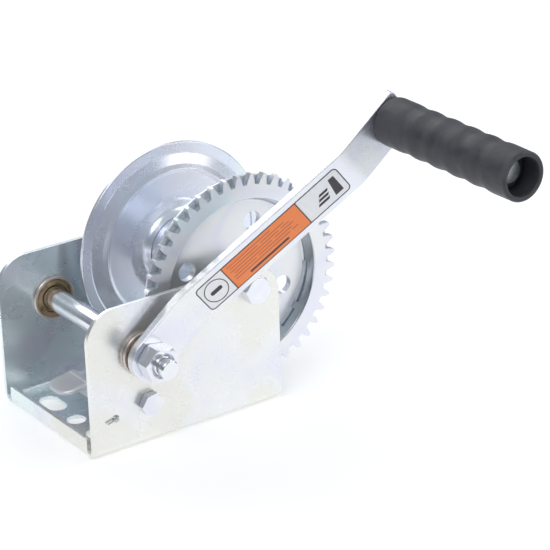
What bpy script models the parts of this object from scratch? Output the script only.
"""Boat trailer winch: a hand-cranked, single-speed gear winch in a folded steel frame.

Metres, +Z up. X runs along the frame (the front edge, with the upturned lip, is at -X), the crank is
on the -Y side, and the origin is the middle of the frame's underside. Every shaft runs along Y.
"""
import math

import bpy
import bmesh
from mathutils import Matrix, Vector

MM = 0.001
INCH = 0.0254
GAP = 0.3 * MM                    # clearance between pieces that touch on the real winch

# Frame: one folded sheet, a floor between two side plates
FRAME_LENGTH = 148 * MM
FRAME_WIDTH = 116 * MM
FRAME_HEIGHT = 102 * MM
SHEET = 3.0 * MM
BEND_RADIUS = 7 * MM              # outside radius of the folds
TOP_CORNER_RADIUS = 22 * MM
LIP_HEIGHT = 13 * MM
LIP_HALF_WIDTH = 49.5 * MM
PLATE_OUT = FRAME_WIDTH / 2       # |y| of a side plate's outer face
PLATE_IN = PLATE_OUT - SHEET      # |y| of a side plate's inner face

# Holes in the floor: a front and a rear row, each with a round hole between two slots
BASE_ROWS_X = (-54.5 * MM, 47 * MM)
BASE_ROW_CENTRE_Y = -3.5 * MM
BASE_HOLE_RADIUS = 6.5 * MM
BASE_SLOT_WIDTH = 13.5 * MM
BASE_SLOT_LENGTH = 24 * MM
BASE_SLOT_OFFSET = 30.5 * MM

# Gear train: 8 diametral pitch, 45 teeth driven by 11
MODULE = INCH / 8
GEAR_TEETH = 45
PINION_TEETH = 11
PRESSURE_ANGLE = math.radians(20)
BACKLASH = 0.55 * MM              # taken off each tooth's width
CENTRE_DISTANCE = (GEAR_TEETH + PINION_TEETH) * MODULE / 2
DRUM_X = 53 * MM
DRUM_Z = 87.3 * MM
DRIVE_ANGLE = math.radians(194.3)  # from the drum axis to the drive axis, in the XZ plane
DRIVE_X = DRUM_X + CENTRE_DISTANCE * math.cos(DRIVE_ANGLE)
DRIVE_Z = DRUM_Z + CENTRE_DISTANCE * math.sin(DRIVE_ANGLE)

# Drive gear: a toothed ring whose web is pressed back towards the drum
GEAR_FACE_Y = -47.8 * MM          # outer face of the toothed ring
GEAR_THICK = 4.8 * MM
DISH_DEPTH = 9 * MM
DISH_RADIUS = 58.5 * MM
WEB_HOLE_RADIUS = 6.6 * MM
WEB_HOLE_CIRCLE = 40.3 * MM
WEB_HOLE_FIRST = math.radians(68.4)
WEB_FACE_Y = GEAR_FACE_Y + DISH_DEPTH

# Near flange of the drum: a thin disc behind the teeth
BACKING_RADIUS = 72.8 * MM
BACKING_SHEET = 1.8 * MM

# Drum
BARREL_RADIUS = 24 * MM
BARREL_WALL = 3 * MM
FLANGE_RADIUS = 72.5 * MM
FLANGE_SHEET = 3 * MM
FLANGE_FACE_Y = 35 * MM           # near face of the far flange's web
SLEEVE_RADIUS = 10 * MM
REEL_BOLT_RADIUS = 6.3 * MM

# Drive shaft and crank
SHAFT_RADIUS = INCH * 5 / 16
SHAFT_END_RADIUS = 6.6 * MM
SHAFT_FLAT = 5.2 * MM             # from the axis to each flat of the crank end
CLIP_RADIUS = 12 * MM
BUSH_RADIUS = 10.6 * MM
BUSH_FLANGE_RADIUS = 15.4 * MM
BUSH_FLANGE = 2.3 * MM
PINION_NEAR_Y = -51.8 * MM
PINION_WIDTH = 8.6 * MM
ARM_ANGLE = math.radians(38.5)
ARM_WIDTH = 30.5 * MM
ARM_THICK = 6.35 * MM
ARM_INNER_Y = -64.1 * MM          # inner face of the arm at the shaft
ARM_BEND_1 = 38.5 * MM            # distances along the arm from the drive axis
ARM_BEND_2 = 173 * MM
ARM_END = 226 * MM
ARM_OFFSET = 35 * MM
GRIP_AT = 213 * MM
GRIP_RADIUS = 16.3 * MM
GRIP_LENGTH = 129 * MM
GRIP_PIN_RADIUS = 6.3 * MM
GRIP_HOLLOW_RADIUS = 12.6 * MM
GRIP_HOLLOW_DEPTH = 17 * MM
GRIP_X = DRIVE_X + GRIP_AT * math.cos(ARM_ANGLE)
GRIP_Z = DRIVE_Z + GRIP_AT * math.sin(ARM_ANGLE)
ARM_OUTER_TOP_Y = ARM_INNER_Y - ARM_THICK - ARM_OFFSET

# Pawl
PAWL_X = -30.5 * MM
PAWL_Z = 29.5 * MM
PAWL_BOLT_RADIUS = INCH * 3 / 16
PAWL_NEAR_Y = -50.5 * MM
PAWL_THICK = 5.5 * MM
PAWL_NOSE = 18.5 * MM
SPRING_WIRE = 1.5 * MM
SPRING_HOLE_X = -56 * MM
SPRING_HOLE_Z = 25.5 * MM
SPRING_HOLE_RADIUS = 2.6 * MM

STEPS = 48                        # segments round a large turned piece

ZINC = ((0.72, 0.74, 0.76), 0.28, 1.0)
ZINC_DARK = ((0.55, 0.58, 0.62), 0.3, 1.0)
BRONZE = ((0.48, 0.34, 0.2), 0.45, 1.0)
STEEL = ((0.62, 0.63, 0.65), 0.25, 1.0)
BLACK_PLASTIC = ((0.035, 0.035, 0.04), 0.6, 0.0)
ORANGE_VINYL = ((0.85, 0.25, 0.06), 0.45, 0.0)


# ---------------------------------------------------------------- scene and objects

def clear_scene():
    for obj in list(bpy.data.objects):
        bpy.data.objects.remove(obj, do_unlink=True)


def collection(name):
    coll = bpy.data.collections.new(name)
    bpy.context.scene.collection.children.link(coll)
    return coll


def material(name, finish):
    colour, roughness, metallic = finish
    mat = bpy.data.materials.get(name) or bpy.data.materials.new(name)
    mat.use_nodes = True
    shader = mat.node_tree.nodes["Principled BSDF"]
    shader.inputs["Base Color"].default_value = (*colour, 1)
    shader.inputs["Roughness"].default_value = roughness
    shader.inputs["Metallic"].default_value = metallic
    mat.diffuse_color = (*colour, 1)
    return mat


def add_object(name, mesh, finish=None):
    obj = bpy.data.objects.new(name, mesh)
    if finish is None:
        CUTTERS.objects.link(obj)
        obj.hide_render = True
        obj.display_type = 'WIRE'
    else:
        WINCH.objects.link(obj)
        mesh.materials.append(material(name, finish))
    return obj


def smooth(mesh, degrees=35):
    mesh.shade_smooth()
    mesh.set_sharp_from_angle(angle=math.radians(degrees))


# ---------------------------------------------------------------- outlines, in a flat plane

def arc(cx, cy, radius, start, end, count):
    """Points on an arc, angles in degrees."""
    angles = [math.radians(start + (end - start) * i / count) for i in range(count + 1)]
    return [(cx + radius * math.cos(a), cy + radius * math.sin(a)) for a in angles]


def circle(cx, cy, radius, count=32):
    return arc(cx, cy, radius, 0, 360, count)[:-1]


def rounded(corners, steps=5):
    """A closed outline from corners (x, y, radius), each rounded by an arc."""
    outline = []
    for i, (x, y, radius) in enumerate(corners):
        here = Vector((x, y))
        if radius <= 0:
            outline.append((x, y))
            continue
        before = (Vector(corners[i - 1][:2]) - here).normalized()
        after = (Vector(corners[(i + 1) % len(corners)][:2]) - here).normalized()
        half = before.angle(after) / 2
        centre = here + (before + after).normalized() * radius / math.sin(half)
        first = here + before * radius / math.tan(half) - centre
        last = here + after * radius / math.tan(half) - centre
        start = math.atan2(first.y, first.x)
        sweep = (math.atan2(last.y, last.x) - start + math.pi) % math.tau - math.pi
        outline += arc(centre.x, centre.y, radius, math.degrees(start),
                       math.degrees(start + sweep), steps)
    return outline


def slot(cx, cy, width, length, steps=8):
    """A slot with round ends, long in the outline's second direction."""
    reach = (length - width) / 2
    return (arc(cx, cy + reach, width / 2, 0, 180, steps)
            + arc(cx, cy - reach, width / 2, 180, 360, steps))


def hexagon(across_flats, turn=0):
    return arc(0, 0, across_flats / math.sqrt(3), turn, turn + 360, 6)[:-1]


def involute(base, radius):
    """Angle swept by an involute of the base circle when it reaches a radius."""
    ratio = max(radius / base, 1.0)
    return math.sqrt(ratio ** 2 - 1) - math.acos(1 / ratio)


def gear_outline(teeth, first_tooth, flank_points=2):
    """A spur gear's outline; first_tooth is the angle of one tooth's middle, in radians."""
    pitch = teeth * MODULE / 2
    base = pitch * math.cos(PRESSURE_ANGLE)
    tip = pitch + MODULE
    root = pitch - 1.25 * MODULE
    half_tooth = math.pi / (2 * teeth) - BACKLASH / (2 * pitch)
    foot = max(base, root + 0.1 * MODULE)
    flank = []
    for i in range(flank_points + 1):
        radius = foot + (tip - foot) * i / flank_points
        flank.append((radius, half_tooth + involute(base, pitch) - involute(base, radius)))
    # below the base circle the flank leans inwards, which clears the mating tips
    root_half = flank[0][1] * (0.62 if base > root else 1.0)
    flank.insert(0, (root, root_half))
    outline = []
    for k in range(teeth):
        middle = first_tooth + 2 * math.pi * k / teeth
        side = [(r, middle - a) for r, a in flank] + [(r, middle + a) for r, a in reversed(flank)]
        outline += [(r * math.cos(a), r * math.sin(a)) for r, a in side]
    return outline


# ---------------------------------------------------------------- solids

# Local X, Y, Z of a piece that stands on the XZ plane: its outline's second axis points up
FACING_Y = Matrix.Rotation(math.radians(90), 4, 'X')


def flat_mesh(name, outlines, thickness):
    """Extrude an outline, with any further outlines as holes, about its own plane."""
    curve = bpy.data.curves.new(name, 'CURVE')
    curve.dimensions = '2D'
    curve.fill_mode = 'BOTH'
    curve.extrude = thickness / 2
    for outline in outlines:
        spline = curve.splines.new('POLY')
        spline.points.add(len(outline) - 1)
        for point, (x, y) in zip(spline.points, outline):
            point.co = (x, y, 0, 1)
        spline.use_cyclic_u = True
    return mesh_of_curve(name, curve)


def mesh_of_curve(name, curve):
    """A closed mesh from a curve whose caps are loose."""
    guide = bpy.data.objects.new(name + "_guide", curve)
    bpy.context.scene.collection.objects.link(guide)
    evaluated = guide.evaluated_get(bpy.context.evaluated_depsgraph_get())
    mesh = bpy.data.meshes.new_from_object(evaluated)
    mesh.name = name
    bpy.data.objects.remove(guide, do_unlink=True)
    work = bmesh.new()
    work.from_mesh(mesh)
    bmesh.ops.remove_doubles(work, verts=work.verts, dist=0.00001)
    bmesh.ops.recalc_face_normals(work, faces=work.faces)
    work.to_mesh(mesh)
    work.free()
    return mesh


def plate(name, outlines, y_near, thickness, finish=None, x=0.0, z=0.0):
    """A flat piece that stands on the XZ plane; y_near is its face on the crank side."""
    obj = add_object(name, flat_mesh(name, outlines, thickness), finish)
    obj.matrix_world = Matrix.Translation((x, y_near + thickness / 2, z)) @ FACING_Y
    return obj


def turned(name, profile, x, z, finish=None, steps=STEPS):
    """A turned piece about the Y axis through (x, z).

    The profile is a closed list of (radius, y) that starts at the outer side's crank end, runs away
    from the crank and comes back along the inside. A profile that touches the axis is left open.
    """
    mesh = bpy.data.meshes.new(name)
    points = [(radius, 0, -y) for radius, y in profile]
    solid = min(radius for radius, y in profile) <= 0
    edges = [(i, i + 1) for i in range(len(points) - 1)]
    if not solid:
        edges.append((len(points) - 1, 0))
    mesh.from_pydata(points, edges, [])
    obj = add_object(name, mesh, finish)
    screw = obj.modifiers.new("turn", 'SCREW')
    screw.axis = 'Z'
    screw.angle = math.tau
    screw.steps = steps
    screw.render_steps = steps
    screw.use_merge_vertices = True
    screw.merge_threshold = 0.00001
    screw.use_smooth_shade = False
    obj.matrix_world = Matrix.Translation((x, 0, z)) @ FACING_Y
    return obj


def ring(name, outer, inner, y_near, y_far, x, z, finish=None, steps=STEPS):
    return turned(name, [(outer, y_near), (outer, y_far), (inner, y_far), (inner, y_near)],
                  x, z, finish, steps)


def rod(name, radius, y_near, y_far, x, z, finish=None, chamfer=0.0, steps=32):
    if chamfer:
        profile = [(0, y_near), (radius - chamfer, y_near), (radius, y_near + chamfer),
                   (radius, y_far - chamfer), (radius - chamfer, y_far), (0, y_far)]
    else:
        profile = [(0, y_near), (radius, y_near), (radius, y_far), (0, y_far)]
    return turned(name, profile, x, z, finish, steps)


def boolean(obj, other, operation):
    mod = obj.modifiers.new(operation.lower() + "_" + other.name, 'BOOLEAN')
    mod.operation = operation
    mod.solver = 'EXACT'
    mod.object = other
    return obj


def cut(obj, *others):
    for other in others:
        boolean(obj, other, 'DIFFERENCE')
    return obj


def block(name, low, high):
    """A box cutter between two corners."""
    mesh = bpy.data.meshes.new(name)
    work = bmesh.new()
    bmesh.ops.create_cube(work, size=1.0)
    size = Vector(high) - Vector(low)
    bmesh.ops.scale(work, vec=size, verts=work.verts)
    bmesh.ops.translate(work, vec=(Vector(high) + Vector(low)) / 2, verts=work.verts)
    work.to_mesh(mesh)
    work.free()
    return add_object(name, mesh)


def hex_piece(name, across_flats, y_near, y_far, x, z, finish=None, turn=0.0, bore=0.0):
    """A hexagon prism whose corners are chamfered on the crank side or both sides by a cone."""
    outlines = [hexagon(across_flats, turn)]
    if bore:
        outlines.append(circle(0, 0, bore, 24))
    prism = plate(name, outlines, y_near, y_far - y_near, finish, x, z)
    corner = across_flats / math.sqrt(3)
    flat = across_flats / 2
    lead = (corner - flat) * 0.6
    middle = (y_near + y_far) / 2
    reach = (y_far - y_near) / 2
    cone = turned(name + "_chamfer",
                  [(0, middle - reach - lead), (flat - lead * 0.4, middle - reach - 0.4 * MM),
                   (corner + 0.6 * MM, middle - reach + lead),
                   (corner + 0.6 * MM, middle + reach + lead), (0, middle + reach + lead)],
                  x, z, steps=24)
    return boolean(prism, cone, 'INTERSECT')


def bolt(name, across_flats, head, shank, y_head, y_end, x, z, finish, turn=0.0):
    """A hex bolt: y_head is the face that bears on the plate, and the head is on its -Y side."""
    body = hex_piece(name, across_flats, y_head - head, y_head, x, z, finish, turn)
    stem = rod(name + "_shank", shank, y_head - head / 2, y_end, x, z, chamfer=0.8 * MM, steps=24)
    return boolean(body, stem, 'UNION')


# ---------------------------------------------------------------- frame

def make_frame():
    """The folded sheet: a channel along X, trimmed to its side outline, with every hole cut."""
    over = 4 * MM                 # length that the trim takes off each end
    outer, inner = BEND_RADIUS, BEND_RADIUS - SHEET
    top = FRAME_HEIGHT + over
    section = rounded([(-PLATE_OUT, top, 0), (-PLATE_OUT, 0, outer), (PLATE_OUT, 0, outer),
                       (PLATE_OUT, top, 0), (PLATE_IN, top, 0), (PLATE_IN, SHEET, inner),
                       (-PLATE_IN, SHEET, inner), (-PLATE_IN, top, 0)])
    mesh = flat_mesh("frame", [section], FRAME_LENGTH + 2 * over)
    frame = add_object("frame", mesh, ZINC)
    # outline's first axis to Y, second to Z, extrusion to X
    frame.matrix_world = Matrix(((0, 0, 1, 0), (1, 0, 0, 0), (0, 1, 0, 0), (0, 0, 0, 1)))

    front = -FRAME_LENGTH / 2
    inner_bend = 3 * MM
    sunk = 0.05 * MM              # the fold's inner curve runs out just under the floor's surface
    curve = arc(front + SHEET + inner_bend, SHEET + inner_bend - sunk, inner_bend, 270, 180, 6)
    lip = plate("lip", [[(front - over, SHEET / 3), (front + SHEET + inner_bend, SHEET / 3)] + curve
                        + [(front + SHEET, LIP_HEIGHT), (front - over, LIP_HEIGHT)]],
                -LIP_HALF_WIDTH, 2 * LIP_HALF_WIDTH)
    boolean(frame, lip, 'UNION')

    side = rounded([(front, 0, 4 * MM), (-front, 0, 1 * MM),
                    (-front, FRAME_HEIGHT, TOP_CORNER_RADIUS),
                    (front, FRAME_HEIGHT, TOP_CORNER_RADIUS)], steps=8)
    trim = plate("side_outline", [side], -FRAME_WIDTH, 2 * FRAME_WIDTH)
    boolean(frame, trim, 'INTERSECT')

    through = FRAME_WIDTH / 2 + 5 * MM
    cut(frame,
        rod("drive_bore", BUSH_RADIUS + GAP, -through, through, DRIVE_X, DRIVE_Z),
        rod("reel_bore", REEL_BOLT_RADIUS + GAP, -through, through, DRUM_X, DRUM_Z),
        rod("pawl_bore", PAWL_BOLT_RADIUS + GAP, -through, -PLATE_IN + 5 * MM, PAWL_X, PAWL_Z),
        rod("spring_bore", SPRING_HOLE_RADIUS, -through, -PLATE_IN + 5 * MM,
            SPRING_HOLE_X, SPRING_HOLE_Z, steps=20))
    for row, x in enumerate(BASE_ROWS_X):
        for side, offset in (("mid", 0), ("far", BASE_SLOT_OFFSET), ("near", -BASE_SLOT_OFFSET)):
            y = BASE_ROW_CENTRE_Y + offset
            outline = (slot(x, y, BASE_SLOT_WIDTH, BASE_SLOT_LENGTH) if offset
                       else circle(x, y, BASE_HOLE_RADIUS, 24))
            name = "base_cut_%d_%s" % (row, side)
            cut(frame, add_object(name, flat_mesh(name, [outline], 4 * SHEET)))
    return frame


# ---------------------------------------------------------------- drum

def make_drive_gear():
    """A turned blank, dished towards the drum, trimmed by a toothed prism and pierced."""
    bore = SLEEVE_RADIUS + GAP
    face, back = GEAR_FACE_Y, GEAR_FACE_Y + GEAR_THICK
    web_face, web_back = WEB_FACE_Y, WEB_FACE_Y + GEAR_THICK
    outside = (GEAR_TEETH / 2 + 1) * MODULE + 2 * MM
    slope = 1.5 * MM
    wall = DISH_RADIUS - slope - GEAR_THICK
    gear = turned("drive_gear", [
        (outside, face), (outside, back), (DISH_RADIUS + 1 * MM, back),
        (DISH_RADIUS - 0.5 * MM, web_back - 2 * MM), (DISH_RADIUS - 2.5 * MM, web_back),
        (bore, web_back), (bore, web_face), (wall + 1.5 * MM, web_face),
        (wall + 3.3 * MM, web_face - 1.5 * MM), (DISH_RADIUS - 1.2 * MM, face + 1.2 * MM),
        (DISH_RADIUS, face)], DRUM_X, DRUM_Z, ZINC, steps=48)
    teeth = plate("gear_teeth", [gear_outline(GEAR_TEETH, DRIVE_ANGLE)],
                  face - 5 * MM, DISH_DEPTH + GEAR_THICK + 10 * MM, x=DRUM_X, z=DRUM_Z)
    boolean(gear, teeth, 'INTERSECT')
    for i in range(4):
        angle = WEB_HOLE_FIRST + i * math.pi / 2
        cut(gear, rod("web_hole_%d" % i, WEB_HOLE_RADIUS, face, web_back + 5 * MM,
                      DRUM_X + WEB_HOLE_CIRCLE * math.cos(angle),
                      DRUM_Z + WEB_HOLE_CIRCLE * math.sin(angle)))
    # two curved slots at the foot of the dish wall
    for i, (start, end) in enumerate(((-31, -1), (-58, -40))):
        outline = (arc(0, 0, wall + 1.2 * MM, start, end, 6)
                   + arc(0, 0, wall - 1.6 * MM, end, start, 6))
        cut(gear, plate("wall_slot_%d" % i, [outline], web_face - 3 * MM, 12 * MM,
                        x=DRUM_X, z=DRUM_Z))
    return gear


def make_drum():
    """Everything that turns with the drive gear."""
    make_drive_gear()
    bore = SLEEVE_RADIUS + GAP
    backing_near = GEAR_FACE_Y + GEAR_THICK + GAP
    ring("reel_near_flange", BACKING_RADIUS, DISH_RADIUS + 1.6 * MM, backing_near,
         backing_near + BACKING_SHEET, DRUM_X, DRUM_Z, ZINC)
    barrel_near = WEB_FACE_Y + GEAR_THICK + GAP
    barrel_far = FLANGE_FACE_Y - GAP
    ring("reel_barrel", BARREL_RADIUS, BARREL_RADIUS - BARREL_WALL, barrel_near, barrel_far,
         DRUM_X, DRUM_Z, ZINC)
    web, back = FLANGE_FACE_Y, FLANGE_FACE_Y + FLANGE_SHEET
    step = 2.2 * MM
    fillet = BARREL_RADIUS + GAP
    turned("reel_flange", [
        (FLANGE_RADIUS, web + step), (FLANGE_RADIUS, back + step), (64 * MM, back + step),
        (55 * MM, back), (bore, back), (bore, web), (fillet, web),
        (fillet, web - 4 * MM), (fillet + 1.2 * MM, web - 2 * MM), (fillet + 4 * MM, web),
        (52.5 * MM, web), (54 * MM, web - 1 * MM), (56 * MM, web), (64.5 * MM, web + step),
        (65.5 * MM, web + step)], DRUM_X, DRUM_Z, ZINC, steps=48)


def make_reel_axle():
    """The bolt that the drum turns on, with its sleeve, collars, washer and nut."""
    ring("reel_sleeve", SLEEVE_RADIUS, REEL_BOLT_RADIUS + GAP, -PLATE_IN + GAP, PLATE_IN - GAP,
         DRUM_X, DRUM_Z, STEEL, steps=24)
    collar = SLEEVE_RADIUS + 5 * MM
    ring("reel_collar_near", collar, SLEEVE_RADIUS + GAP, -PLATE_IN + GAP, WEB_FACE_Y - GAP,
         DRUM_X, DRUM_Z, STEEL, steps=24)
    ring("reel_collar_far", collar, SLEEVE_RADIUS + GAP, FLANGE_FACE_Y + FLANGE_SHEET + GAP,
         PLATE_IN - GAP, DRUM_X, DRUM_Z, STEEL, steps=24)
    bolt("reel_bolt", 17.5 * MM, 8 * MM, REEL_BOLT_RADIUS, -PLATE_OUT - GAP, PLATE_OUT + 17 * MM,
         DRUM_X, DRUM_Z, ZINC, turn=53)
    ring("reel_lock_washer", 10.5 * MM, REEL_BOLT_RADIUS + GAP, PLATE_OUT + GAP,
         PLATE_OUT + 2.8 * MM, DRUM_X, DRUM_Z, STEEL, steps=24)
    hex_piece("reel_nut", 18 * MM, PLATE_OUT + 3.1 * MM, PLATE_OUT + 13.5 * MM, DRUM_X, DRUM_Z,
              ZINC, turn=20, bore=REEL_BOLT_RADIUS + GAP)


# ---------------------------------------------------------------- drive shaft and crank

def make_bushing(name, side):
    """A flanged bronze bushing: side -1 has its flange outside the near plate, and side 1 has it
    inside the far plate."""
    if side < 0:
        flange, plate_face, end = -PLATE_OUT - GAP - BUSH_FLANGE, -PLATE_OUT - GAP, -PLATE_IN + 1 * MM
    else:
        flange, plate_face, end = PLATE_IN - GAP - BUSH_FLANGE, PLATE_IN - GAP, PLATE_OUT + 1 * MM
    bore = SHAFT_RADIUS + GAP
    groove = 0.9 * MM
    turned(name, [
        (BUSH_FLANGE_RADIUS - 0.5 * MM, flange), (BUSH_FLANGE_RADIUS, flange + 0.5 * MM),
        (BUSH_FLANGE_RADIUS, plate_face), (BUSH_RADIUS, plate_face), (BUSH_RADIUS, end),
        (bore, end), (bore, flange), (13 * MM, flange), (13.2 * MM, flange + groove),
        (13.7 * MM, flange + groove), (14 * MM, flange)], DRIVE_X, DRIVE_Z, BRONZE, steps=24)


def make_drive_shaft():
    """The shaft, stepped down at the crank for the arm's double-D hole and the nut."""
    shoulder = ARM_INNER_Y + GAP
    crank_end, far_end = -91.4 * MM, PLATE_OUT + 9 * MM
    groove = PLATE_OUT + 5.2 * MM
    shaft = turned("drive_shaft", [
        (0, crank_end), (SHAFT_END_RADIUS - 0.8 * MM, crank_end),
        (SHAFT_END_RADIUS, crank_end + 0.8 * MM), (SHAFT_END_RADIUS, shoulder),
        (SHAFT_RADIUS, shoulder), (SHAFT_RADIUS, groove), (SHAFT_RADIUS - 1 * MM, groove),
        (SHAFT_RADIUS - 1 * MM, groove + 1.6 * MM), (SHAFT_RADIUS, groove + 1.6 * MM),
        (SHAFT_RADIUS, far_end - 0.8 * MM), (SHAFT_RADIUS - 0.8 * MM, far_end), (0, far_end)],
        DRIVE_X, DRIVE_Z, ZINC, steps=24)
    reach = 2 * SHAFT_END_RADIUS
    length = shoulder - crank_end + 1 * MM
    for i, (low, high) in enumerate(((-reach, -SHAFT_FLAT), (SHAFT_FLAT, reach))):
        tool = block("shaft_flat_%d" % i, (-reach, low, 0), (reach, high, length))
        tool.matrix_world = (Matrix.Translation((DRIVE_X, shoulder, DRIVE_Z))
                             @ Matrix.Rotation(-ARM_ANGLE, 4, 'Y') @ FACING_Y)
        cut(shaft, tool)
    washer_near = PLATE_OUT + GAP
    ring("shaft_washer", 14 * MM, SHAFT_RADIUS + GAP, washer_near + 1 * MM, groove - GAP,
         DRIVE_X, DRIVE_Z, ZINC, steps=24)
    clip_gap = 4 * MM
    inner = SHAFT_RADIUS - 1 * MM + GAP
    mouth = math.degrees(math.asin(clip_gap / CLIP_RADIUS))
    outline = (arc(0, 0, CLIP_RADIUS, mouth, 360 - mouth, 24)
               + arc(0, 0, inner, 360 - mouth * 1.7, mouth * 1.7, 24))
    plate("shaft_clip", [outline], groove + GAP, 1 * MM, STEEL, DRIVE_X, DRIVE_Z)
    return shaft


def make_pinion():
    gear_tooth = 2 * math.pi / PINION_TEETH
    # a gap of the pinion faces the drum axis, where the gear has a tooth
    first = DRIVE_ANGLE - math.pi + gear_tooth / 2
    plate("pinion", [gear_outline(PINION_TEETH, first), circle(0, 0, SHAFT_RADIUS + GAP, 32)],
          PINION_NEAR_Y, PINION_WIDTH, ZINC_DARK, DRIVE_X, DRIVE_Z)


def arm_matrix():
    """Local X runs along the arm, local Y across it and local Z towards the crank side (-Y)."""
    return Matrix.Translation((DRIVE_X, 0, DRIVE_Z)) @ Matrix.Rotation(-ARM_ANGLE, 4, 'Y') @ FACING_Y


def make_crank_arm():
    """A flat bar with two bends that carry its outer end away from the frame."""
    inner = -ARM_INNER_Y          # local Z of the inner face at the shaft
    lean = math.atan2(ARM_OFFSET, ARM_BEND_2 - ARM_BEND_1)
    shift = ARM_THICK * math.tan(lean / 2)
    start, end = -ARM_WIDTH, ARM_END + ARM_WIDTH
    bend = 30 * MM
    side = rounded([
        (start, inner, 0), (ARM_BEND_1 + shift, inner, bend),
        (ARM_BEND_2 + shift, inner + ARM_OFFSET, bend), (end, inner + ARM_OFFSET, 0),
        (end, inner + ARM_OFFSET + ARM_THICK, 0), (ARM_BEND_2, inner + ARM_OFFSET + ARM_THICK, bend),
        (ARM_BEND_1, inner + ARM_THICK, bend), (start, inner + ARM_THICK, 0)])
    arm = add_object("crank_arm", flat_mesh("crank_arm", [side], 2 * ARM_WIDTH), ZINC)
    # the side outline's second axis is the arm's local Z
    arm.matrix_world = arm_matrix() @ Matrix.Rotation(math.radians(90), 4, 'X')
    half = ARM_WIDTH / 2
    corner = 3 * MM
    plan = arc(0, 0, half, 90, 270, 16) + rounded([
        (0, -half, 0), (ARM_END, -half, corner), (ARM_END, half, corner), (0, half, 0)])[1:-1]
    trim = add_object("arm_plan", flat_mesh("arm_plan", [plan], 300 * MM))
    trim.matrix_world = arm_matrix()
    boolean(arm, trim, 'INTERSECT')
    flat = SHAFT_FLAT + GAP
    end_radius = SHAFT_END_RADIUS + GAP
    angle = math.degrees(math.asin(flat / end_radius))
    hole = arc(0, 0, end_radius, -angle, angle, 6) + arc(0, 0, end_radius, 180 - angle, 180 + angle, 6)
    bore = add_object("arm_bore", flat_mesh("arm_bore", [hole], 300 * MM))
    bore.matrix_world = arm_matrix()
    cut(arm, bore, rod("arm_pin_bore", GRIP_PIN_RADIUS + GAP, -140 * MM, -90 * MM, GRIP_X, GRIP_Z))


def make_arm_decal():
    """A thin sticker on the sloping middle of the arm."""
    lean = math.atan2(ARM_OFFSET, ARM_BEND_2 - ARM_BEND_1)
    first, last, width = 50 * MM, 166 * MM, 21.5 * MM
    thick = 0.5 * MM
    length = (last - first) / math.cos(lean)
    half = width / 2
    outline = rounded([(0, -half, 3 * MM), (length, -half, 3 * MM),
                       (length, half, 3 * MM), (0, half, 3 * MM)], steps=4)
    decal = add_object("arm_decal", flat_mesh("arm_decal", [outline], thick), ORANGE_VINYL)
    surface = -ARM_INNER_Y + ARM_THICK + (first - ARM_BEND_1) * math.tan(lean)
    decal.matrix_world = (arm_matrix() @ Matrix.Translation((first, 0, surface))
                          @ Matrix.Rotation(-lean, 4, 'Y')
                          @ Matrix.Translation((0, 0, GAP + thick / 2)))


def make_crank():
    """The arm, its spacer and nut, and the grip on its pin."""
    ring("crank_spacer", 11.5 * MM, SHAFT_RADIUS + GAP, ARM_INNER_Y + GAP,
         -PLATE_OUT - 2 * GAP - BUSH_FLANGE, DRIVE_X, DRIVE_Z, ZINC, steps=24)
    make_crank_arm()
    make_arm_decal()
    nut_far = ARM_INNER_Y - ARM_THICK - GAP
    nut_near = nut_far - 12.2 * MM
    nut = hex_piece("crank_nut", 22.2 * MM, nut_near, nut_far, DRIVE_X, DRIVE_Z, ZINC, turn=50,
                    bore=SHAFT_END_RADIUS + GAP)
    cut(nut, turned("nut_countersink", [
        (0, nut_near - 2 * MM), (8.9 * MM, nut_near - 2 * MM), (8.2 * MM, nut_near + 0.9 * MM),
        (6 * MM, nut_near + 3.1 * MM), (0, nut_near + 3.1 * MM)], DRIVE_X, DRIVE_Z, steps=36))

    outer = ARM_OUTER_TOP_Y
    grip_far = outer - 1 * MM
    grip_near = grip_far - GRIP_LENGTH
    head_y = grip_near + GRIP_HOLLOW_DEPTH - GAP
    turned("grip_pin", [
        (0, head_y - 4.2 * MM), (7.5 * MM, head_y - 4.2 * MM), (10 * MM, head_y - 2.6 * MM),
        (10 * MM, head_y), (GRIP_PIN_RADIUS, head_y), (GRIP_PIN_RADIUS, outer + ARM_THICK + 2.2 * MM),
        (GRIP_PIN_RADIUS - 1 * MM, outer + ARM_THICK + 3 * MM), (0, outer + ARM_THICK + 3 * MM)],
        GRIP_X, GRIP_Z, STEEL, steps=24)
    make_grip(grip_near, grip_far)


def make_grip(near, far):
    """A hollow-ended sleeve with finger grooves, which turns on its pin."""
    grooves, plain = 5, 18 * MM
    pitch = (GRIP_LENGTH - 2 * plain) / grooves
    depth, samples = 0.8 * MM, 5
    profile = [(GRIP_RADIUS - 1.2 * MM, near), (GRIP_RADIUS, near + 1.2 * MM)]
    for i in range(grooves * samples + 1):
        wave = (1 - math.cos(2 * math.pi * i / samples)) / 2
        profile.append((GRIP_RADIUS - depth * wave, near + plain + pitch * i / samples))
    bore = GRIP_PIN_RADIUS + GAP
    profile += [(GRIP_RADIUS, far - 3 * MM), (GRIP_RADIUS - 3 * MM, far), (bore, far),
                (bore, near + GRIP_HOLLOW_DEPTH),
                (GRIP_HOLLOW_RADIUS, near + GRIP_HOLLOW_DEPTH), (GRIP_HOLLOW_RADIUS, near)]
    turned("grip", profile, GRIP_X, GRIP_Z, BLACK_PLASTIC, steps=20)


# ---------------------------------------------------------------- ratchet pawl

def pawl_direction():
    """Angle from the pawl's pivot to the drive axis."""
    return math.atan2(DRIVE_Z - PAWL_Z, DRIVE_X - PAWL_X)


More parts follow.
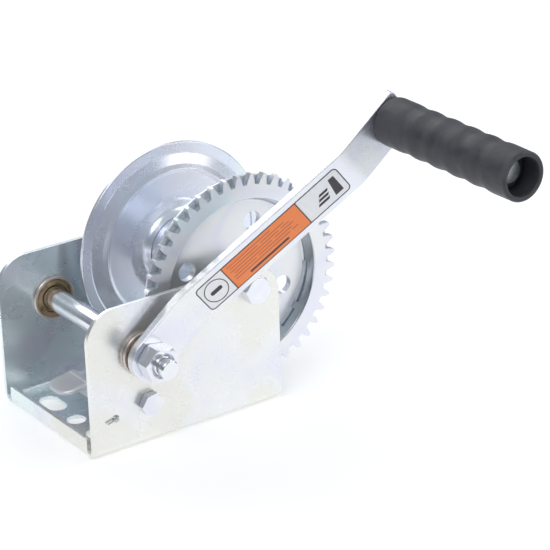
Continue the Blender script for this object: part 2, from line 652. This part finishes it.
def make_pawl():
    """A double-ended pawl below the pinion, with a cross bar and a thumb pad at the front."""
    up = math.degrees(pawl_direction())

    def at(distance, angle):
        a = math.radians(up + angle)
        return distance * math.cos(a), distance * math.sin(a)

    hub = 9 * MM
    outline = [at(PAWL_NOSE, 42), at(PAWL_NOSE - 5 * MM, 22), at(PAWL_NOSE - 6 * MM, 0),
               at(PAWL_NOSE - 5 * MM, -22), at(PAWL_NOSE, -42), at(hub + 3 * MM, -62)]
    outline += [at(hub, angle) for angle in range(-80, -281, -20)]
    outline += [at(hub + 3 * MM, 62)]
    pawl = plate("pawl", [outline], PAWL_NEAR_Y, PAWL_THICK, ZINC, PAWL_X, PAWL_Z)

    # lever: a short arm in the pawl's plane, then a cross bar towards the far plate
    bar_x, bar_thick = -42 * MM, 4 * MM
    bar_low, bar_high = 14.5 * MM, 26.5 * MM
    arm_near, arm_far = PAWL_NEAR_Y + 0.6 * MM, PAWL_NEAR_Y + PAWL_THICK - 0.6 * MM
    web = plate("pawl_web", [rounded([(bar_x, bar_low, 1 * MM), (PAWL_X - 1 * MM, PAWL_Z - 8 * MM, 0),
                                      (PAWL_X - 1 * MM, PAWL_Z + 5 * MM, 0),
                                      (bar_x, bar_high, 1 * MM)])],
                arm_near, arm_far - arm_near)
    boolean(pawl, web, 'UNION')
    bar_end = 21 * MM
    bar = plate("pawl_bar", [rounded([(bar_x - bar_thick / 2, bar_low, 1 * MM),
                                      (bar_x + bar_thick / 2, bar_low, 1 * MM),
                                      (bar_x + bar_thick / 2, bar_high, 1 * MM),
                                      (bar_x - bar_thick / 2, bar_high, 1 * MM)], steps=3)],
                PAWL_NEAR_Y + 0.3 * MM, bar_end - PAWL_NEAR_Y)
    boolean(pawl, bar, 'UNION')
    # thumb pad: a rounded tongue that rises forwards from the top of the bar
    reach, half = 22 * MM, 12.5 * MM
    pad = add_object("pawl_pad", flat_mesh("pawl_pad", [rounded([
        (0, -half, 2 * MM), (reach, -half, 10 * MM), (reach, half, 10 * MM),
        (0, half, 2 * MM)])], 3.4 * MM))
    pad.matrix_world = (Matrix.Translation((bar_x + 1 * MM, 10 * MM, bar_high - 2.3 * MM))
                        @ Matrix.Rotation(math.radians(180), 4, 'Z')
                        @ Matrix.Rotation(math.radians(8), 4, 'Y'))
    boolean(pawl, pad, 'UNION')
    cut(pawl, rod("pawl_pivot_bore", PAWL_BOLT_RADIUS + GAP, PAWL_NEAR_Y - 4 * MM,
                  PAWL_NEAR_Y + PAWL_THICK + 4 * MM, PAWL_X, PAWL_Z, steps=24))


def make_pawl_spring():
    """Wire: coils round the bolt, a leg along the plate, and a tail hooked out through its hole."""
    wire = SPRING_WIRE / 2
    coil = PAWL_BOLT_RADIUS + GAP + wire + 0.4 * MM
    turns, per_turn = 1.75, 14
    first_y, last_y = -PLATE_IN + GAP + wire, PAWL_NEAR_Y - GAP - wire
    count = int(turns * per_turn)
    sweep = -turns * 2 * math.pi
    start = math.radians(262)
    points = []
    for i in range(count + 1):
        angle = start + sweep * i / count
        points.append((PAWL_X + coil * math.cos(angle), first_y + (last_y - first_y) * i / count,
                       PAWL_Z + coil * math.sin(angle)))
    tail = (PAWL_X + 13 * MM, last_y, PAWL_Z + coil * math.sin(start + sweep) - 2 * MM)
    hole = Vector((SPRING_HOLE_X, 0, SPRING_HOLE_Z))
    outside = -PLATE_OUT - 1.6 * MM
    leg = [(hole.x - 7 * MM, outside, hole.z - 1.5 * MM), (hole.x - 1.2 * MM, outside, hole.z - 0.2 * MM),
           (hole.x, outside + 0.5 * MM, hole.z), (hole.x + 0.2 * MM, first_y - 0.4 * MM, hole.z),
           (hole.x + 1.5 * MM, first_y, hole.z - 0.6 * MM)]
    curve = bpy.data.curves.new("pawl_spring", 'CURVE')
    curve.dimensions = '3D'
    curve.bevel_depth = wire
    curve.bevel_resolution = 2
    curve.use_fill_caps = True
    route = leg + points + [tail]
    spline = curve.splines.new('POLY')
    spline.points.add(len(route) - 1)
    for point, place in zip(spline.points, route):
        point.co = (*place, 1)
    add_object("pawl_spring", mesh_of_curve("pawl_spring", curve), STEEL)


def make_ratchet():
    make_pawl()
    bolt("pawl_bolt", INCH * 9 / 16, 5.6 * MM, PAWL_BOLT_RADIUS, -PLATE_OUT - GAP, -36 * MM,
         PAWL_X, PAWL_Z, ZINC, turn=1)
    washer = PAWL_NEAR_Y + PAWL_THICK + GAP
    ring("pawl_washer", 9.5 * MM, PAWL_BOLT_RADIUS + GAP, washer, washer + 1.5 * MM,
         PAWL_X, PAWL_Z, ZINC, steps=24)
    hex_piece("pawl_nut", INCH * 9 / 16, washer + 1.8 * MM, washer + 7.5 * MM, PAWL_X, PAWL_Z,
              ZINC, turn=12, bore=PAWL_BOLT_RADIUS + GAP)
    make_pawl_spring()


# ---------------------------------------------------------------- the winch

clear_scene()
WINCH = collection("boat_trailer_winch")
CUTTERS = collection("cutters")

make_frame()
make_drum()
make_reel_axle()
make_bushing("drive_bushing_near", -1)
make_bushing("drive_bushing_far", 1)
make_drive_shaft()
make_pinion()
make_crank()
make_ratchet()

for piece in WINCH.objects:
    smooth(piece.data)
